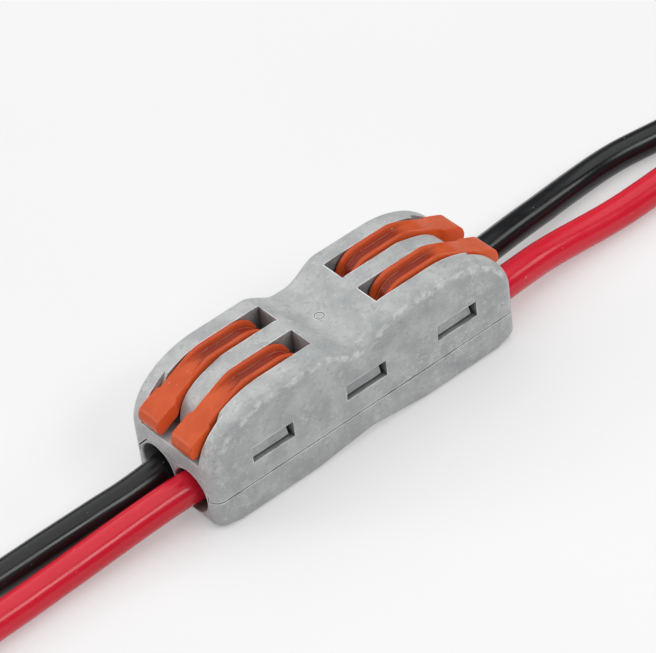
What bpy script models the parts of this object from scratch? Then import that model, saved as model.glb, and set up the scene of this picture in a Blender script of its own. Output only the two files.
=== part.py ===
"""Inline lever wire connector: two poles, a lever and a cage clamp at each end of each pole.

Frame: metres, +Z up, origin at the centre of the bottom face.
+X runs along the wires, +Y across them. Pole 1 lies at +Y and pole 2 at -Y.
End a is the -X end and end b the +X end.
"""
import bpy
import bmesh
from math import cos, sin, pi, radians
from mathutils import Matrix, Vector

MM = 0.001

# Overall sizes
HALF_LENGTH = 19.4 * MM          # housing end face
HALF_WIDTH = 6.45 * MM           # housing flank
TOP_Z = 13.1 * MM                # flat top of the two humps
SADDLE_Z = 11.35 * MM            # lowest point of the saddle between the humps
SPLIT_Z = 3.72 * MM              # parting line between housing and base
SEAM = 0.15 * MM                 # gap along the parting line
GAP = 0.3 * MM                   # gap between pieces that rest on each other
EDGE_RADIUS = 1.0 * MM           # round along the outline of the flanks

# Hump outline: a quarter ellipse from the flat top down to the end face
HUMP_X = 10.6 * MM
HUMP_Z = 6.6 * MM
SADDLE_HALF = 4.7 * MM           # where the saddle meets the flat top
SADDLE_FLAT = 0.6 * MM
NOTCH_HALF = 7.0 * MM            # shallow notch under the middle
NOTCH_DEPTH = 0.75 * MM
FOOT_RADIUS = 1.3 * MM           # round under each end of the base

# Poles
POLE_Y = 2.51 * MM
SLOT_HALF = 1.44 * MM            # half width of a lever slot
SLOT_INNER_X = 4.17 * MM
CHEEK_Y = 4.4 * MM               # inner face of the thin end cheeks
LINTEL_TOP = 7.6 * MM
LINTEL_BOTTOM = 5.93 * MM
BAY_HALF = 1.96 * MM             # half width of the bay that holds one clamp
BAY_TOP = 8.6 * MM

# Rib between the levers, x and z in millimetres: its front, then its top
# The inner layer of each cheek has the same front under a steeper top
RIB_FRONT = [(17.05, 7.6), (17.0, 8.4), (16.9, 9.05), (16.7, 9.75), (16.4, 10.4), (15.95, 11.0)]
RIB_TOP = [(15.35, 11.52), (14.5, 12.05), (13.5, 12.45), (12.3, 12.8), (11.0, 13.15)]
CHEEK_TOP = [(16.2, 10.95), (15.95, 11.45), (15.7, 11.85), (15.5, 12.3)]

# Wire entry
PORT_Z = 3.3 * MM
PORT_RADIUS = 2.4 * MM
PORT_STOP_X = 15.4 * MM          # shoulder that stops the insulation
FUNNEL_X = 14.7 * MM
THROAT_RADIUS = 1.25 * MM
BLOCK_X = 14.2 * MM              # inner face of the entry block
BLOCK_HALF = 5.2 * MM
SHOULDER_HALF = 3.85 * MM        # half width of the flat top of the entry block
SHOULDER_Z = 4.3 * MM            # where the sloping shoulder meets the side of the block

# Base
FLOOR_Z = 0.9 * MM
PIT_FLOOR_Z = 0.4 * MM

# Latches
LATCH_XS = (-11.8 * MM, 0.0, 11.8 * MM)
WINDOW_HALF = 2.58 * MM
WINDOW_LOW = 6.05 * MM
WINDOW_HIGH = 7.92 * MM
ARM_INNER_Y = 4.95 * MM
ARM_OUTER_Y = 5.5 * MM
HOOK_Y = 5.9 * MM

# Lever and its cam, drawn for the +X end
PIVOT = (8.2 * MM, 9.8 * MM)
LEVER_HALF = 1.24 * MM
HEAD_HALF = 1.42 * MM
GROOVE_HALF = 0.6 * MM
REAR_RADIUS = 3.5 * MM
CAM_RADIUS = 2.35 * MM
TRUNNION_RADIUS = 0.9 * MM
TRUNNION_REACH = 1.95 * MM
POCKET_REACH = 2.25 * MM

# Busbar
BAR_LOW = 4.35 * MM
BAR_HIGH = 4.9 * MM
BAR_HALF = 1.6 * MM
BAR_NECK_HALF = 0.95 * MM
BAR_NECK_X = 9.6 * MM
BAR_END_X = 12.3 * MM

# Cage clamp spring
STRIP = 0.35 * MM
SPRING_HALF = 1.75 * MM
HINGE = (2.4 * MM, 6.2 * MM)    # axis about which the clamp arm flexes
BEND_RADIUS = 0.9 * MM           # to the middle of the strip
LEG_END_X = 9.3 * MM
TONGUE_X = 11.0 * MM
TONGUE_LOW = 1.65 * MM
CLAMP_LOW = 2.2 * MM             # lower edge of the clamp window
CLAMP_HIGH = 6.25 * MM
CLAMP_HALF = 1.15 * MM

# Wires
SLEEVE_RADII = {"1": 1.6 * MM, "2": 1.7 * MM}
CORE_RADIUS = 0.8 * MM
CORE_INNER_X = 7.0 * MM
SLEEVE_START_X = 15.7 * MM       # where the insulation begins, at its stop inside the port
STRIPPED = 7.0 * MM
TUBE_STEP = 7.5 * MM

# Route of each wire outside and inside its port: x, y, z in millimetres
ROUTES = {
    "a1": [(-15.7, 2.4, 3.15), (-17.5, 2.32, 3.04), (-19.4, 2.23, 2.9), (-21.5, 2.17, 2.7),
           (-24.0, 2.22, 2.5), (-27.0, 2.42, 2.34), (-30.0, 2.62, 2.13), (-33.0, 2.8, 1.94),
           (-36.0, 2.92, 1.77), (-39.0, 3.0, 1.67), (-43.0, 3.15, 1.63), (-48.0, 3.45, 1.63),
           (-54.0, 4.1, 1.63), (-60.0, 4.95, 1.63), (-66.0, 5.8, 1.63), (-72.0, 6.45, 1.63),
           (-78.0, 6.85, 1.63), (-86.0, 7.1, 1.63)],
    "a2": [(-15.7, -2.35, 3.3), (-17.5, -2.22, 3.3), (-19.4, -2.04, 3.27), (-21.5, -1.9, 3.17),
           (-24.0, -1.77, 2.96), (-27.0, -1.63, 2.66), (-30.0, -1.5, 2.33), (-33.0, -1.4, 2.04),
           (-36.0, -1.36, 1.84), (-39.0, -1.42, 1.75), (-43.0, -1.5, 1.73), (-48.0, -1.6, 1.73),
           (-54.0, -1.75, 1.73), (-60.0, -2.15, 1.73), (-66.0, -2.7, 1.73), (-72.0, -3.2, 1.73),
           (-78.0, -3.55, 1.73), (-86.0, -3.8, 1.73)],
    "b1": [(15.7, 2.5, 3.3), (17.5, 2.52, 3.3), (19.4, 2.58, 3.27), (21.5, 2.74, 3.16),
           (24.0, 3.1, 2.98), (27.0, 3.6, 2.7), (30.0, 4.08, 2.4), (33.0, 4.5, 2.1),
           (36.0, 4.93, 1.85), (39.0, 5.24, 1.68), (42.0, 5.38, 1.63), (45.0, 5.27, 1.63),
           (48.0, 4.87, 1.63), (51.0, 4.45, 1.63), (54.0, 4.1, 1.63), (59.0, 3.6, 1.63),
           (65.0, 3.3, 1.63), (72.0, 3.3, 1.63), (79.0, 3.5, 1.63), (86.0, 3.7, 1.63)],
    "b2": [(15.7, -2.5, 3.3), (17.5, -2.49, 3.3), (19.4, -2.43, 3.27), (21.5, -2.28, 3.17),
           (24.0, -1.97, 2.95), (27.0, -1.6, 2.64), (30.0, -1.45, 2.34), (33.0, -1.45, 2.06),
           (36.0, -1.52, 1.85), (39.0, -1.55, 1.75), (42.2, -1.48, 1.73), (47.0, -1.36, 1.73),
           (53.0, -1.5, 1.73), (59.0, -1.9, 1.73), (65.0, -2.15, 1.73), (72.0, -2.1, 1.73),
           (79.0, -1.9, 1.73), (86.0, -1.8, 1.73)],
}

POLES = {"1": POLE_Y, "2": -POLE_Y}
ENDS = {"a": -1.0, "b": 1.0}

# name: colour, roughness, metallic
FINISHES = {
    "grey_nylon": ((0.46, 0.47, 0.475, 1.0), 0.55, 0.0),
    "orange_nylon": ((0.66, 0.115, 0.03, 1.0), 0.42, 0.0),
    "tinned_copper": ((0.72, 0.70, 0.66, 1.0), 0.32, 1.0),
    "spring_steel": ((0.60, 0.61, 0.63, 1.0), 0.28, 1.0),
    "bare_copper": ((0.80, 0.42, 0.26, 1.0), 0.35, 1.0),
    "black_pvc": ((0.015, 0.016, 0.018, 1.0), 0.35, 0.0),
    "red_pvc": ((0.62, 0.02, 0.045, 1.0), 0.35, 0.0),
}


def clear_scene():
    for item in list(bpy.data.objects):
        bpy.data.objects.remove(item, do_unlink=True)


def finish(name):
    material = bpy.data.materials.get(name)
    if material is None:
        colour, roughness, metallic = FINISHES[name]
        material = bpy.data.materials.new(name)
        material.use_nodes = True
        shader = material.node_tree.nodes["Principled BSDF"]
        shader.inputs["Base Color"].default_value = colour
        shader.inputs["Roughness"].default_value = roughness
        shader.inputs["Metallic"].default_value = metallic
        material.diffuse_color = colour
    return material


def mesh_object(name, shape, material=None, smooth_angle=None):
    bmesh.ops.recalc_face_normals(shape, faces=shape.faces)
    mesh = bpy.data.meshes.new(name)
    shape.to_mesh(mesh)
    shape.free()
    item = bpy.data.objects.new(name, mesh)
    bpy.context.scene.collection.objects.link(item)
    if material:
        mesh.materials.append(finish(material))
    if smooth_angle:
        mesh.shade_smooth()
        mesh.set_sharp_from_angle(angle=radians(smooth_angle))
    return item


def prism(outline, low, high, axis):
    """Extrude a flat outline between two planes. Axis y takes (x, z) points, axis x (y, z) points."""
    shape = bmesh.new()
    if axis == "y":
        ring = [shape.verts.new((a, low, b)) for a, b in outline]
        step = Vector((0.0, high - low, 0.0))
    else:
        ring = [shape.verts.new((low, a, b)) for a, b in outline]
        step = Vector((high - low, 0.0, 0.0))
    face = shape.faces.new(ring)
    grown = bmesh.ops.extrude_face_region(shape, geom=[face])
    moved = [part for part in grown["geom"] if isinstance(part, bmesh.types.BMVert)]
    bmesh.ops.translate(shape, verts=moved, vec=step)
    return shape


def block(low, high):
    """A box between two corners."""
    outline = [(low[0], low[2]), (high[0], low[2]), (high[0], high[2]), (low[0], high[2])]
    return prism(outline, low[1], high[1], "y")


def rod(centre, radius, low, high, axis, sides, end_radius=None):
    """A round bar between two planes along x or y; centre is its place on the other two axes."""
    end_radius = radius if end_radius is None else end_radius
    shape = bmesh.new()
    bmesh.ops.create_cone(shape, cap_ends=True, segments=sides, radius1=radius,
                          radius2=end_radius, depth=high - low)
    middle = (low + high) / 2
    if axis == "x":
        turn = Matrix.Rotation(pi / 2, 4, "Y")
        place = Matrix.Translation((middle, centre[0], centre[1]))
    else:
        turn = Matrix.Rotation(-pi / 2, 4, "X")
        place = Matrix.Translation((centre[0], middle, centre[1]))
    bmesh.ops.transform(shape, matrix=place @ turn, verts=shape.verts)
    return shape


def cut(target, shape, operation="DIFFERENCE"):
    """Add a Boolean modifier whose cutter is hidden from the finished model."""
    cutter = mesh_object(target.name + ".cutter", shape)
    cutter.hide_render = True
    cutter.display_type = "WIRE"
    modifier = target.modifiers.new(operation.lower(), "BOOLEAN")
    modifier.operation = operation
    modifier.solver = "EXACT"
    modifier.object = cutter


def mirror_outline(half):
    """Close a half outline, listed from the middle outwards at +X, with its mirror image."""
    return half + [(-x, z) for x, z in reversed(half) if x > 1e-9]


def arc(centre, radius, start, stop, steps, radius_z=None):
    """Points on a circle or an ellipse between two angles in degrees."""
    radius_z = radius if radius_z is None else radius_z
    points = []
    for step in range(steps + 1):
        angle = radians(start + (stop - start) * step / steps)
        points.append((centre[0] + radius * cos(angle), centre[1] + radius_z * sin(angle)))
    return points


def round_flank_outline(shape, skip, radius, segments):
    """Bevel the edges around both flank faces, apart from those that skip() picks out."""
    edges = []
    for edge in shape.edges:
        first, second = edge.verts[0].co, edge.verts[1].co
        along_flank = abs(first.y - second.y) < 1e-7
        if along_flank and not skip(first, second):
            edges.append(edge)
    bmesh.ops.bevel(shape, geom=edges, offset=radius, segments=segments, profile=0.5,
                    affect="EDGES", clamp_overlap=True)


def saddle_height(x):
    t = min(max((x - SADDLE_FLAT) / (SADDLE_HALF - SADDLE_FLAT), 0.0), 1.0)
    return SADDLE_Z + (TOP_Z - SADDLE_Z) * t * t * (3 - 2 * t)


def hump_arc(steps):
    return arc((HUMP_X, HUMP_Z), HALF_LENGTH - HUMP_X, 90, 0, steps, TOP_Z - HUMP_Z)


def make_housing():
    half = [(SADDLE_HALF * step / 6, saddle_height(SADDLE_HALF * step / 6)) for step in range(7)]
    half += hump_arc(9)
    half.append((HALF_LENGTH, SPLIT_Z))
    shape = prism(mirror_outline(half), -HALF_WIDTH, HALF_WIDTH, "y")
    round_flank_outline(shape, lambda a, b: max(a.z, b.z) < SPLIT_Z + 0.1 * MM, EDGE_RADIUS, 2)
    housing = mesh_object("housing", shape, "grey_nylon", 40)
    below = SPLIT_Z - 1 * MM
    for side in ENDS.values():
        cut_lever_bays(housing, side)
        low, high = sorted((side * (BLOCK_X - GAP), side * (HALF_LENGTH + 1 * MM)))
        cut(housing, prism(entry_outline(below, SEAM), low, high, "x"))
    for pole in POLES.values():
        cut(housing, block((-BLOCK_X, pole - BAY_HALF, below), (BLOCK_X, pole + BAY_HALF, BAY_TOP)))
    for flank in (-1, 1):
        for x in LATCH_XS:
            cut_latch_window(housing, x, flank)
    return housing


def entry_outline(low, grow):
    """End view of the entry block, from a low plane up to its sloping shoulders."""
    side = BLOCK_HALF + grow
    shoulder = SHOULDER_HALF + grow / 2
    return [(-side, low), (side, low), (side, SHOULDER_Z), (shoulder, LINTEL_BOTTOM - SEAM + grow),
            (-shoulder, LINTEL_BOTTOM - SEAM + grow), (-side, SHOULDER_Z)]


def cut_lever_bays(housing, side):
    """Open the slots, the pivot pockets and the stepped nose at one end."""
    above = TOP_Z + 1 * MM
    beyond = HALF_LENGTH + 2 * MM
    inner, outer = sorted((side * SLOT_INNER_X, side * beyond))
    for pole in POLES.values():
        slot = block((inner, pole - SLOT_HALF, LINTEL_TOP), (outer, pole + SLOT_HALF, above))
        cut(housing, slot)
        cut(housing, rod((side * PIVOT[0], PIVOT[1]), TRUNNION_RADIUS + GAP,
                         pole - POCKET_REACH, pole + POCKET_REACH, "y", 20))
        throat = TRUNNION_RADIUS + GAP - 0.05 * MM
        cut(housing, block((side * PIVOT[0] - throat, pole - POCKET_REACH, BAY_TOP - 1 * MM),
                           (side * PIVOT[0] + throat, pole + POCKET_REACH, PIVOT[1])))
    front = [(x * MM, z * MM) for x, z in RIB_FRONT]
    close = [(beyond, above), (beyond, LINTEL_TOP)]
    rib = front + [(x * MM, z * MM) for x, z in RIB_TOP]
    rib += [(rib[-1][0], above)] + close
    cut(housing, prism([(side * x, z) for x, z in rib], -POLE_Y, POLE_Y, "y"))
    wall = front[:-1] + [(x * MM, z * MM) for x, z in CHEEK_TOP]
    wall += [(wall[-1][0], above)] + close
    for flank in (-1, 1):
        low, high = sorted((flank * POLE_Y, flank * CHEEK_Y))
        cut(housing, prism([(side * x, z) for x, z in wall], low, high, "y"))


def cut_latch_window(housing, x, flank):
    """A channel for the latch arm, open below, and a window through the wall for its hook."""
    low, high = sorted((flank * (ARM_INNER_Y - GAP), flank * (ARM_OUTER_Y + 0.15 * MM)))
    channel = block((x - WINDOW_HALF, low, SPLIT_Z - 1 * MM), (x + WINDOW_HALF, high, WINDOW_HIGH))
    cut(housing, channel)
    low, high = sorted((flank * (ARM_OUTER_Y - 0.1 * MM), flank * (HALF_WIDTH + 1 * MM)))
    inset = 0.01 * MM
    window = block((x - WINDOW_HALF + inset, low, WINDOW_LOW),
                   (x + WINDOW_HALF - inset, high, WINDOW_HIGH - inset))
    cut(housing, window)


def make_base():
    top = SPLIT_Z - SEAM
    half = [(0.0, NOTCH_DEPTH), (NOTCH_HALF, 0.0)]
    half += arc((HALF_LENGTH - FOOT_RADIUS, FOOT_RADIUS), FOOT_RADIUS, -90, 0, 4)
    half.append((HALF_LENGTH, top))
    shape = prism(mirror_outline(half), -HALF_WIDTH, HALF_WIDTH, "y")
    round_flank_outline(
        shape,
        lambda a, b: (min(a.z, b.z) > top - 0.1 * MM
                      or max(abs(a.x), abs(b.x)) < HALF_LENGTH - 2 * FOOT_RADIUS),
        EDGE_RADIUS, 2)
    base = mesh_object("base_cover", shape, "grey_nylon", 40)
    tray_x = BLOCK_X
    for pole in POLES.values():
        cut(base, block((-tray_x, pole - BAY_HALF, FLOOR_Z), (tray_x, pole + BAY_HALF, 5 * MM)))
    for side in ENDS.values():
        add_entry_block(base, side)
    for flank in (-1, 1):
        for x in LATCH_XS:
            add_latch(base, x, flank)
    return base


def add_entry_block(base, side):
    """The end wall with the two wire ports, and the pits under the clamp tongues."""
    low, high = sorted((side * BLOCK_X, side * HALF_LENGTH))
    cut(base, prism(entry_outline(SPLIT_Z - SEAM - 0.5 * MM, 0.0), low, high, "x"), "UNION")
    for pole in POLES.values():
        spot = (pole, PORT_Z)
        low, high = sorted((side * PORT_STOP_X, side * (HALF_LENGTH + 1 * MM)))
        cut(base, rod(spot, PORT_RADIUS, low, high, "x", 24))
        low, high = sorted((side * (BLOCK_X - 1 * MM), side * (PORT_STOP_X + 1 * MM)))
        cut(base, rod(spot, THROAT_RADIUS, low, high, "x", 16))
        low, high = sorted((side * FUNNEL_X, side * (PORT_STOP_X + 0.06 * MM)))
        radii = (THROAT_RADIUS + 0.05 * MM, PORT_RADIUS - 0.3 * MM)
        start, stop = radii if side > 0 else (radii[1], radii[0])
        cut(base, rod(spot, start, low, high, "x", 24, stop))
        low, high = sorted((side * 9.6 * MM, side * 11.9 * MM))
        pit = block((low, pole - BAY_HALF + 0.1 * MM, PIT_FLOOR_Z),
                    (high, pole + BAY_HALF - 0.1 * MM, FLOOR_Z + 1 * MM))
        cut(base, pit)


def add_latch(base, x, flank):
    """A latch arm with a hook: flat below, sloping back towards its top."""
    half = WINDOW_HALF - GAP
    foot = SPLIT_Z - SEAM - 0.5 * MM
    tip = WINDOW_HIGH - GAP
    outline = [(ARM_INNER_Y, foot), (ARM_OUTER_Y, foot), (ARM_OUTER_Y, WINDOW_LOW + SEAM),
               (HOOK_Y, WINDOW_LOW + SEAM), (HOOK_Y, WINDOW_LOW + 2 * SEAM),
               (ARM_OUTER_Y, tip), (ARM_INNER_Y, tip)]
    arm = prism([(flank * y, z) for y, z in outline], x - half, x + half, "x")
    cut(base, arm, "UNION")


def cam_radius(angle):
    """Radius of the lever's rear: round behind the pivot, then falling to the cam's foot."""
    if angle <= 150:
        return REAR_RADIUS
    fall = (270 - angle) / 120
    return CAM_RADIUS + (REAR_RADIUS - CAM_RADIUS) * fall * fall


def lever_outline():
    """Side view of a closed lever at the +X end, from the rear round to the tip and back."""
    points = []
    for angle in range(100, 281, 10):
        reach = cam_radius(min(angle, 270))
        points.append((PIVOT[0] + reach * cos(radians(angle)),
                       PIVOT[1] + reach * sin(radians(angle))))
    rest = [(10.4, 8.3), (12.0, 9.5), (13.6, 10.15), (15.2, 10.05), (17.2, 9.25), (19.1, 8.25),
            (19.6, 8.4), (19.75, 9.0), (19.5, 9.8), (19.2, 10.1), (17.2, 10.98), (16.1, 11.42),
            (14.9, 11.98), (13.6, 12.6), (12.6, 13.05), (11.6, 13.28), (9.8, 13.36)]
    return points + [(x * MM, z * MM) for x, z in rest]


def make_lever(name, side, pole):
    outline = [(side * x, z) for x, z in lever_outline()]
    lever = mesh_object(name, prism(outline, pole - LEVER_HALF, pole + LEVER_HALF, "y"),
                        "orange_nylon", 35)
    head = [(17.2, 9.35), (19.1, 8.35), (19.54, 8.48), (19.68, 9.0), (19.44, 9.76),
            (19.16, 10.04), (17.25, 10.9)]
    outline = [(side * x * MM, z * MM) for x, z in head]
    cut(lever, prism(outline, pole - HEAD_HALF, pole + HEAD_HALF, "y"), "UNION")
    groove = [(3.0, 11.0), (6.0, 12.2), (9.0, 12.6), (12.0, 12.45), (14.3, 12.15), (14.3, 15.0),
              (3.0, 15.0)]
    outline = [(side * x * MM, z * MM) for x, z in groove]
    cut(lever, prism(outline, pole - GROOVE_HALF, pole + GROOVE_HALF, "y"))
    cut(lever, rod((side * PIVOT[0], PIVOT[1]), TRUNNION_RADIUS, pole - TRUNNION_REACH,
                   pole + TRUNNION_REACH, "y", 20), "UNION")
    return lever


def make_busbar(name, pole):
    """A straight strip under both springs, narrowed where it passes through each clamp window."""
    half = [(BAR_NECK_X, BAR_HALF), (BAR_NECK_X + 0.4 * MM, BAR_NECK_HALF),
            (BAR_END_X - 0.3 * MM, BAR_NECK_HALF), (BAR_END_X, BAR_NECK_HALF - 0.3 * MM)]
    right = half + [(x, -y) for x, y in reversed(half)]
    outline = right + [(-x, -y) for x, y in right]
    shape = bmesh.new()
    ring = [shape.verts.new((x, pole + y, BAR_LOW)) for x, y in outline]
    face = shape.faces.new(ring)
    grown = bmesh.ops.extrude_face_region(shape, geom=[face])
    moved = [part for part in grown["geom"] if isinstance(part, bmesh.types.BMVert)]
    bmesh.ops.translate(shape, verts=moved, vec=(0.0, 0.0, BAR_HIGH - BAR_LOW))
    return mesh_object(name, shape, "tinned_copper")


def make_spring_seat(name, side, pole):
    """The fixed half of the spring: a leg along the busbar and the bend at its inner end."""
    outer = BEND_RADIUS + STRIP / 2
    inner = BEND_RADIUS - STRIP / 2
    outline = arc(HINGE, outer, 90, 270, 10)
    outline += [(LEG_END_X, HINGE[1] - outer), (LEG_END_X, HINGE[1] - inner)]
    outline += arc(HINGE, inner, 270, 90, 10)
    outline = [(side * x, z) for x, z in outline]
    shape = prism(outline, pole - SPRING_HALF, pole + SPRING_HALF, "y")
    return mesh_object(name, shape, "spring_steel", 40)


def make_clamp_arm(name, side, pole):
    """The moving half of the spring: the arm under the cam and the tongue with its window."""
    top = HINGE[1] + BEND_RADIUS + STRIP / 2
    under = top - STRIP
    start = HINGE[0] + GAP
    bend = 0.6 * MM
    corner = (TONGUE_X - bend, top - STRIP - bend)
    outline = [(start, under), (corner[0], under)]
    outline += arc(corner, bend, 90, 0, 3)[1:]
    outline += [(TONGUE_X, TONGUE_LOW), (TONGUE_X + STRIP, TONGUE_LOW)]
    outline += arc(corner, bend + STRIP, 0, 90, 4)
    outline += [(start, top)]
    outline = [(side * x, z) for x, z in outline]
    arm = mesh_object(name, prism(outline, pole - SPRING_HALF, pole + SPRING_HALF, "y"),
                      "spring_steel", 40)
    low, high = sorted((side * (TONGUE_X - 0.2 * MM), side * (TONGUE_X + STRIP + 0.5 * MM)))
    window = block((low, pole - CLAMP_HALF, CLAMP_LOW), (high, pole + CLAMP_HALF, CLAMP_HIGH))
    cut(arm, window)
    return arm


def smooth_route(points, per_span=12):
    """A smooth curve through the route's points, as close points in metres."""
    knots = [Vector(point) * MM for point in points]
    ends = [knots[0] * 2 - knots[1]] + knots + [knots[-1] * 2 - knots[-2]]
    curve = []
    for index in range(1, len(ends) - 2):
        before, start, stop, after = ends[index - 1:index + 3]
        for step in range(per_span):
            t = step / per_span
            curve.append(0.5 * (2 * start + (stop - before) * t
                                + (2 * before - 5 * start + 4 * stop - after) * t * t
                                + (3 * start - before - 3 * stop + after) * t * t * t))
    curve.append(knots[-1])
    return curve


def stretch(curve, first, last, count):
    """Evenly spaced points between two distances along a curve."""
    reach = [0.0]
    for one, two in zip(curve, curve[1:]):
        reach.append(reach[-1] + (two - one).length)
    points = []
    index = 0
    for step in range(count):
        target = first + (last - first) * step / (count - 1)
        while index < len(reach) - 2 and reach[index + 1] < target:
            index += 1
        share = (target - reach[index]) / (reach[index + 1] - reach[index])
        points.append(curve[index].lerp(curve[index + 1], share))
    return points


def tube(name, points, radius, material):
    """A round tube along points, with filled ends."""
    line = bpy.data.curves.new(name, "CURVE")
    line.dimensions = "3D"
    line.bevel_depth = radius
    line.bevel_resolution = 2
    line.use_fill_caps = True
    spline = line.splines.new("POLY")
    spline.points.add(len(points) - 1)
    for knot, point in zip(spline.points, points):
        knot.co = (point.x, point.y, point.z, 1.0)
    item = bpy.data.objects.new(name, line)
    bpy.context.scene.collection.objects.link(item)
    line.materials.append(finish(material))
    return item


def make_wire(tag, side, pole):
    """Insulation, the stripped end in the clamp, and the stripped end at the far end."""
    curve = smooth_route(ROUTES[tag])
    whole = sum((two - one).length for one, two in zip(curve, curve[1:]))
    sleeve = whole - STRIPPED - GAP
    count = round(sleeve / TUBE_STEP) + 1
    material = "black_pvc" if pole > 0 else "red_pvc"
    radius = SLEEVE_RADII[tag[1]]
    tube("wire_" + tag, stretch(curve, 0.0, sleeve, count), radius, material)
    tube("wire_end_" + tag, stretch(curve, sleeve + GAP, whole, 3), CORE_RADIUS, "bare_copper")
    low, high = sorted((side * CORE_INNER_X, side * (SLEEVE_START_X - GAP)))
    core = rod((pole, PORT_Z), CORE_RADIUS, low, high, "x", 14)
    mesh_object("conductor_" + tag, core, "bare_copper", 40)


def main():
    clear_scene()
    make_housing()
    make_base()
    for pole_name, pole in POLES.items():
        make_busbar("busbar_" + pole_name, pole)
        for end_name, side in ENDS.items():
            tag = end_name + pole_name
            make_lever("lever_" + tag, side, pole)
            make_spring_seat("spring_seat_" + tag, side, pole)
            make_clamp_arm("clamp_arm_" + tag, side, pole)
            make_wire(tag, side, pole)


main()
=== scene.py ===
"""Looks of an inline lever wire connector with two poles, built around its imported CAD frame.

Frame: metres, +Z up, origin at the centre of the bottom face. +X runs along the wires.
End a is the -X end and end b the +X end. Pole 1 (black wires) is at +Y, pole 2 (red) at -Y.
"""
from math import cos, hypot, pi, radians, sin, sqrt

import bmesh
import bpy
from mathutils import Matrix, Vector


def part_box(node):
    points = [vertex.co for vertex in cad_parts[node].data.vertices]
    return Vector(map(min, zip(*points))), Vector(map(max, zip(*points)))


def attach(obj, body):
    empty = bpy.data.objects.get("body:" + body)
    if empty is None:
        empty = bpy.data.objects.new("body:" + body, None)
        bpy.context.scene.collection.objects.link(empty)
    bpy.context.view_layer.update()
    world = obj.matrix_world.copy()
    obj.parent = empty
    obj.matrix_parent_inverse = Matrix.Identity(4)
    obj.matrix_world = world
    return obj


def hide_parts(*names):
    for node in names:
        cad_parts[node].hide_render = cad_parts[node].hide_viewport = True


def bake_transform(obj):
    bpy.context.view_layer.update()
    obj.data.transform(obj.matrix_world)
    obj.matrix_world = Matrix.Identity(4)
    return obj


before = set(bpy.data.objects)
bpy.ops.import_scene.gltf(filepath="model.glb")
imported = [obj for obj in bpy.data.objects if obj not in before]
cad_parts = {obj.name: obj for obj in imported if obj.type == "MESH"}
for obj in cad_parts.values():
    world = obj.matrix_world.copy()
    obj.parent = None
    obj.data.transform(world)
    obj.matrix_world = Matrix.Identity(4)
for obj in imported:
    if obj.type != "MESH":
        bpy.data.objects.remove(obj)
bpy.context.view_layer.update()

MM = 0.001
CLEAR = 1 * MM                   # how far a cutter reaches past what it cuts
HOUSING_LOW, HOUSING_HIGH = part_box("housing")
HALF_LENGTH = HOUSING_HIGH[0]
HALF_WIDTH = HOUSING_HIGH[1]
TOP_Z = HOUSING_HIGH[2]
SPLIT_Z = HOUSING_LOW[2]         # parting line between housing and base
SEAM = 0.15 * MM
GAP = 0.3 * MM

# Housing outline
FLANK_RADIUS = 1.25 * MM         # round along the outer edges
ROUND_STEPS = 7
SADDLE_Z = 11.35 * MM
SADDLE_HALF = 4.7 * MM
SADDLE_FLAT = 0.6 * MM
HUMP_X = 10.6 * MM
HUMP_Z = 6.6 * MM
CRISP = 0.07 * MM                # width of the small rounds on moulded edges
GATE_RADIUS = 0.55 * MM

# Lever slots and nose
POLE_Y = 2.51 * MM
SLOT_HALF = 1.44 * MM
SLOT_INNER_X = 4.17 * MM
CHEEK_Y = 4.4 * MM
LINTEL_TOP = 7.6 * MM
LINTEL_BOTTOM = 5.93 * MM
BAY_HALF = 1.96 * MM
BAY_TOP = 8.6 * MM
RIB_FRONT = [(17.05, 7.6), (17.0, 8.4), (16.9, 9.05), (16.7, 9.75), (16.4, 10.4)]
RIB_TOP = [(15.95, 11.0), (15.35, 11.52), (14.5, 12.05), (13.5, 12.45), (12.3, 12.8),
           (11.0, 13.15)]
CHEEK_TOP = [(16.2, 10.95), (15.95, 11.45), (15.7, 11.85), (15.5, 12.3)]

# Wire entries
PORT_Z = 3.3 * MM
PORT_RADIUS = 2.4 * MM
PORT_LIP = 0.22 * MM             # round around each port
PORT_STOP_X = 15.4 * MM
FUNNEL_X = 14.7 * MM
THROAT_RADIUS = 1.25 * MM
BLOCK_X = 14.2 * MM
BLOCK_HALF = 5.2 * MM
SHOULDER_HALF = 3.85 * MM
SHOULDER_Z = 4.3 * MM

# Base
FLOOR_Z = 0.9 * MM
PIT_FLOOR_Z = 0.4 * MM
PIT_X = (9.6 * MM, 11.9 * MM)    # where the floor is thinned under each clamp
NOTCH_HALF = 7.0 * MM
NOTCH_DEPTH = 0.75 * MM
FOOT_RADIUS = 1.3 * MM

# Latches
LATCH_XS = (-11.8 * MM, 0.0, 11.8 * MM)
WINDOW_HALF = 2.58 * MM
WINDOW_LOW = 6.05 * MM
WINDOW_HIGH = 7.92 * MM
ARM_INNER_Y = 4.95 * MM
ARM_OUTER_Y = 5.5 * MM
HOOK_Y = 5.9 * MM
ARM_GAP = 0.4 * MM               # between a latch arm and each end of its window

# Lever
PIVOT = (8.2 * MM, 9.8 * MM)
LEVER_HALF = 1.24 * MM
HEAD_HALF = 1.54 * MM
HEAD_X = 17.15 * MM              # where the wider head begins
REAR_RADIUS = 3.45 * MM
CROWN_RADIUS = 3.6 * MM          # at the top of the closed lever's rear
CAM_RADIUS = 2.35 * MM
CROWN_TURN = (130, 152)          # degrees over which the crown falls to the rear radius
CAM_TURN = (150, 270)            # degrees over which the rear radius falls to the cam's
TRUNNION_RADIUS = 0.9 * MM
TRUNNION_REACH = 1.95 * MM
POCKET_REACH = 2.25 * MM
POCKET_RADIUS = 1.2 * MM
EDGE_ROUND = 0.12 * MM           # along the neck and the head
RIDGE_ROUND = 0.15 * MM          # along the ridges
GROOVE_HALF = 0.45 * MM          # half width of the groove's floor
GROOVE_DEPTH = 0.52 * MM
RIDGE_SLOPE = 0.38 * MM          # width of the ridges' inner slopes
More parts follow.
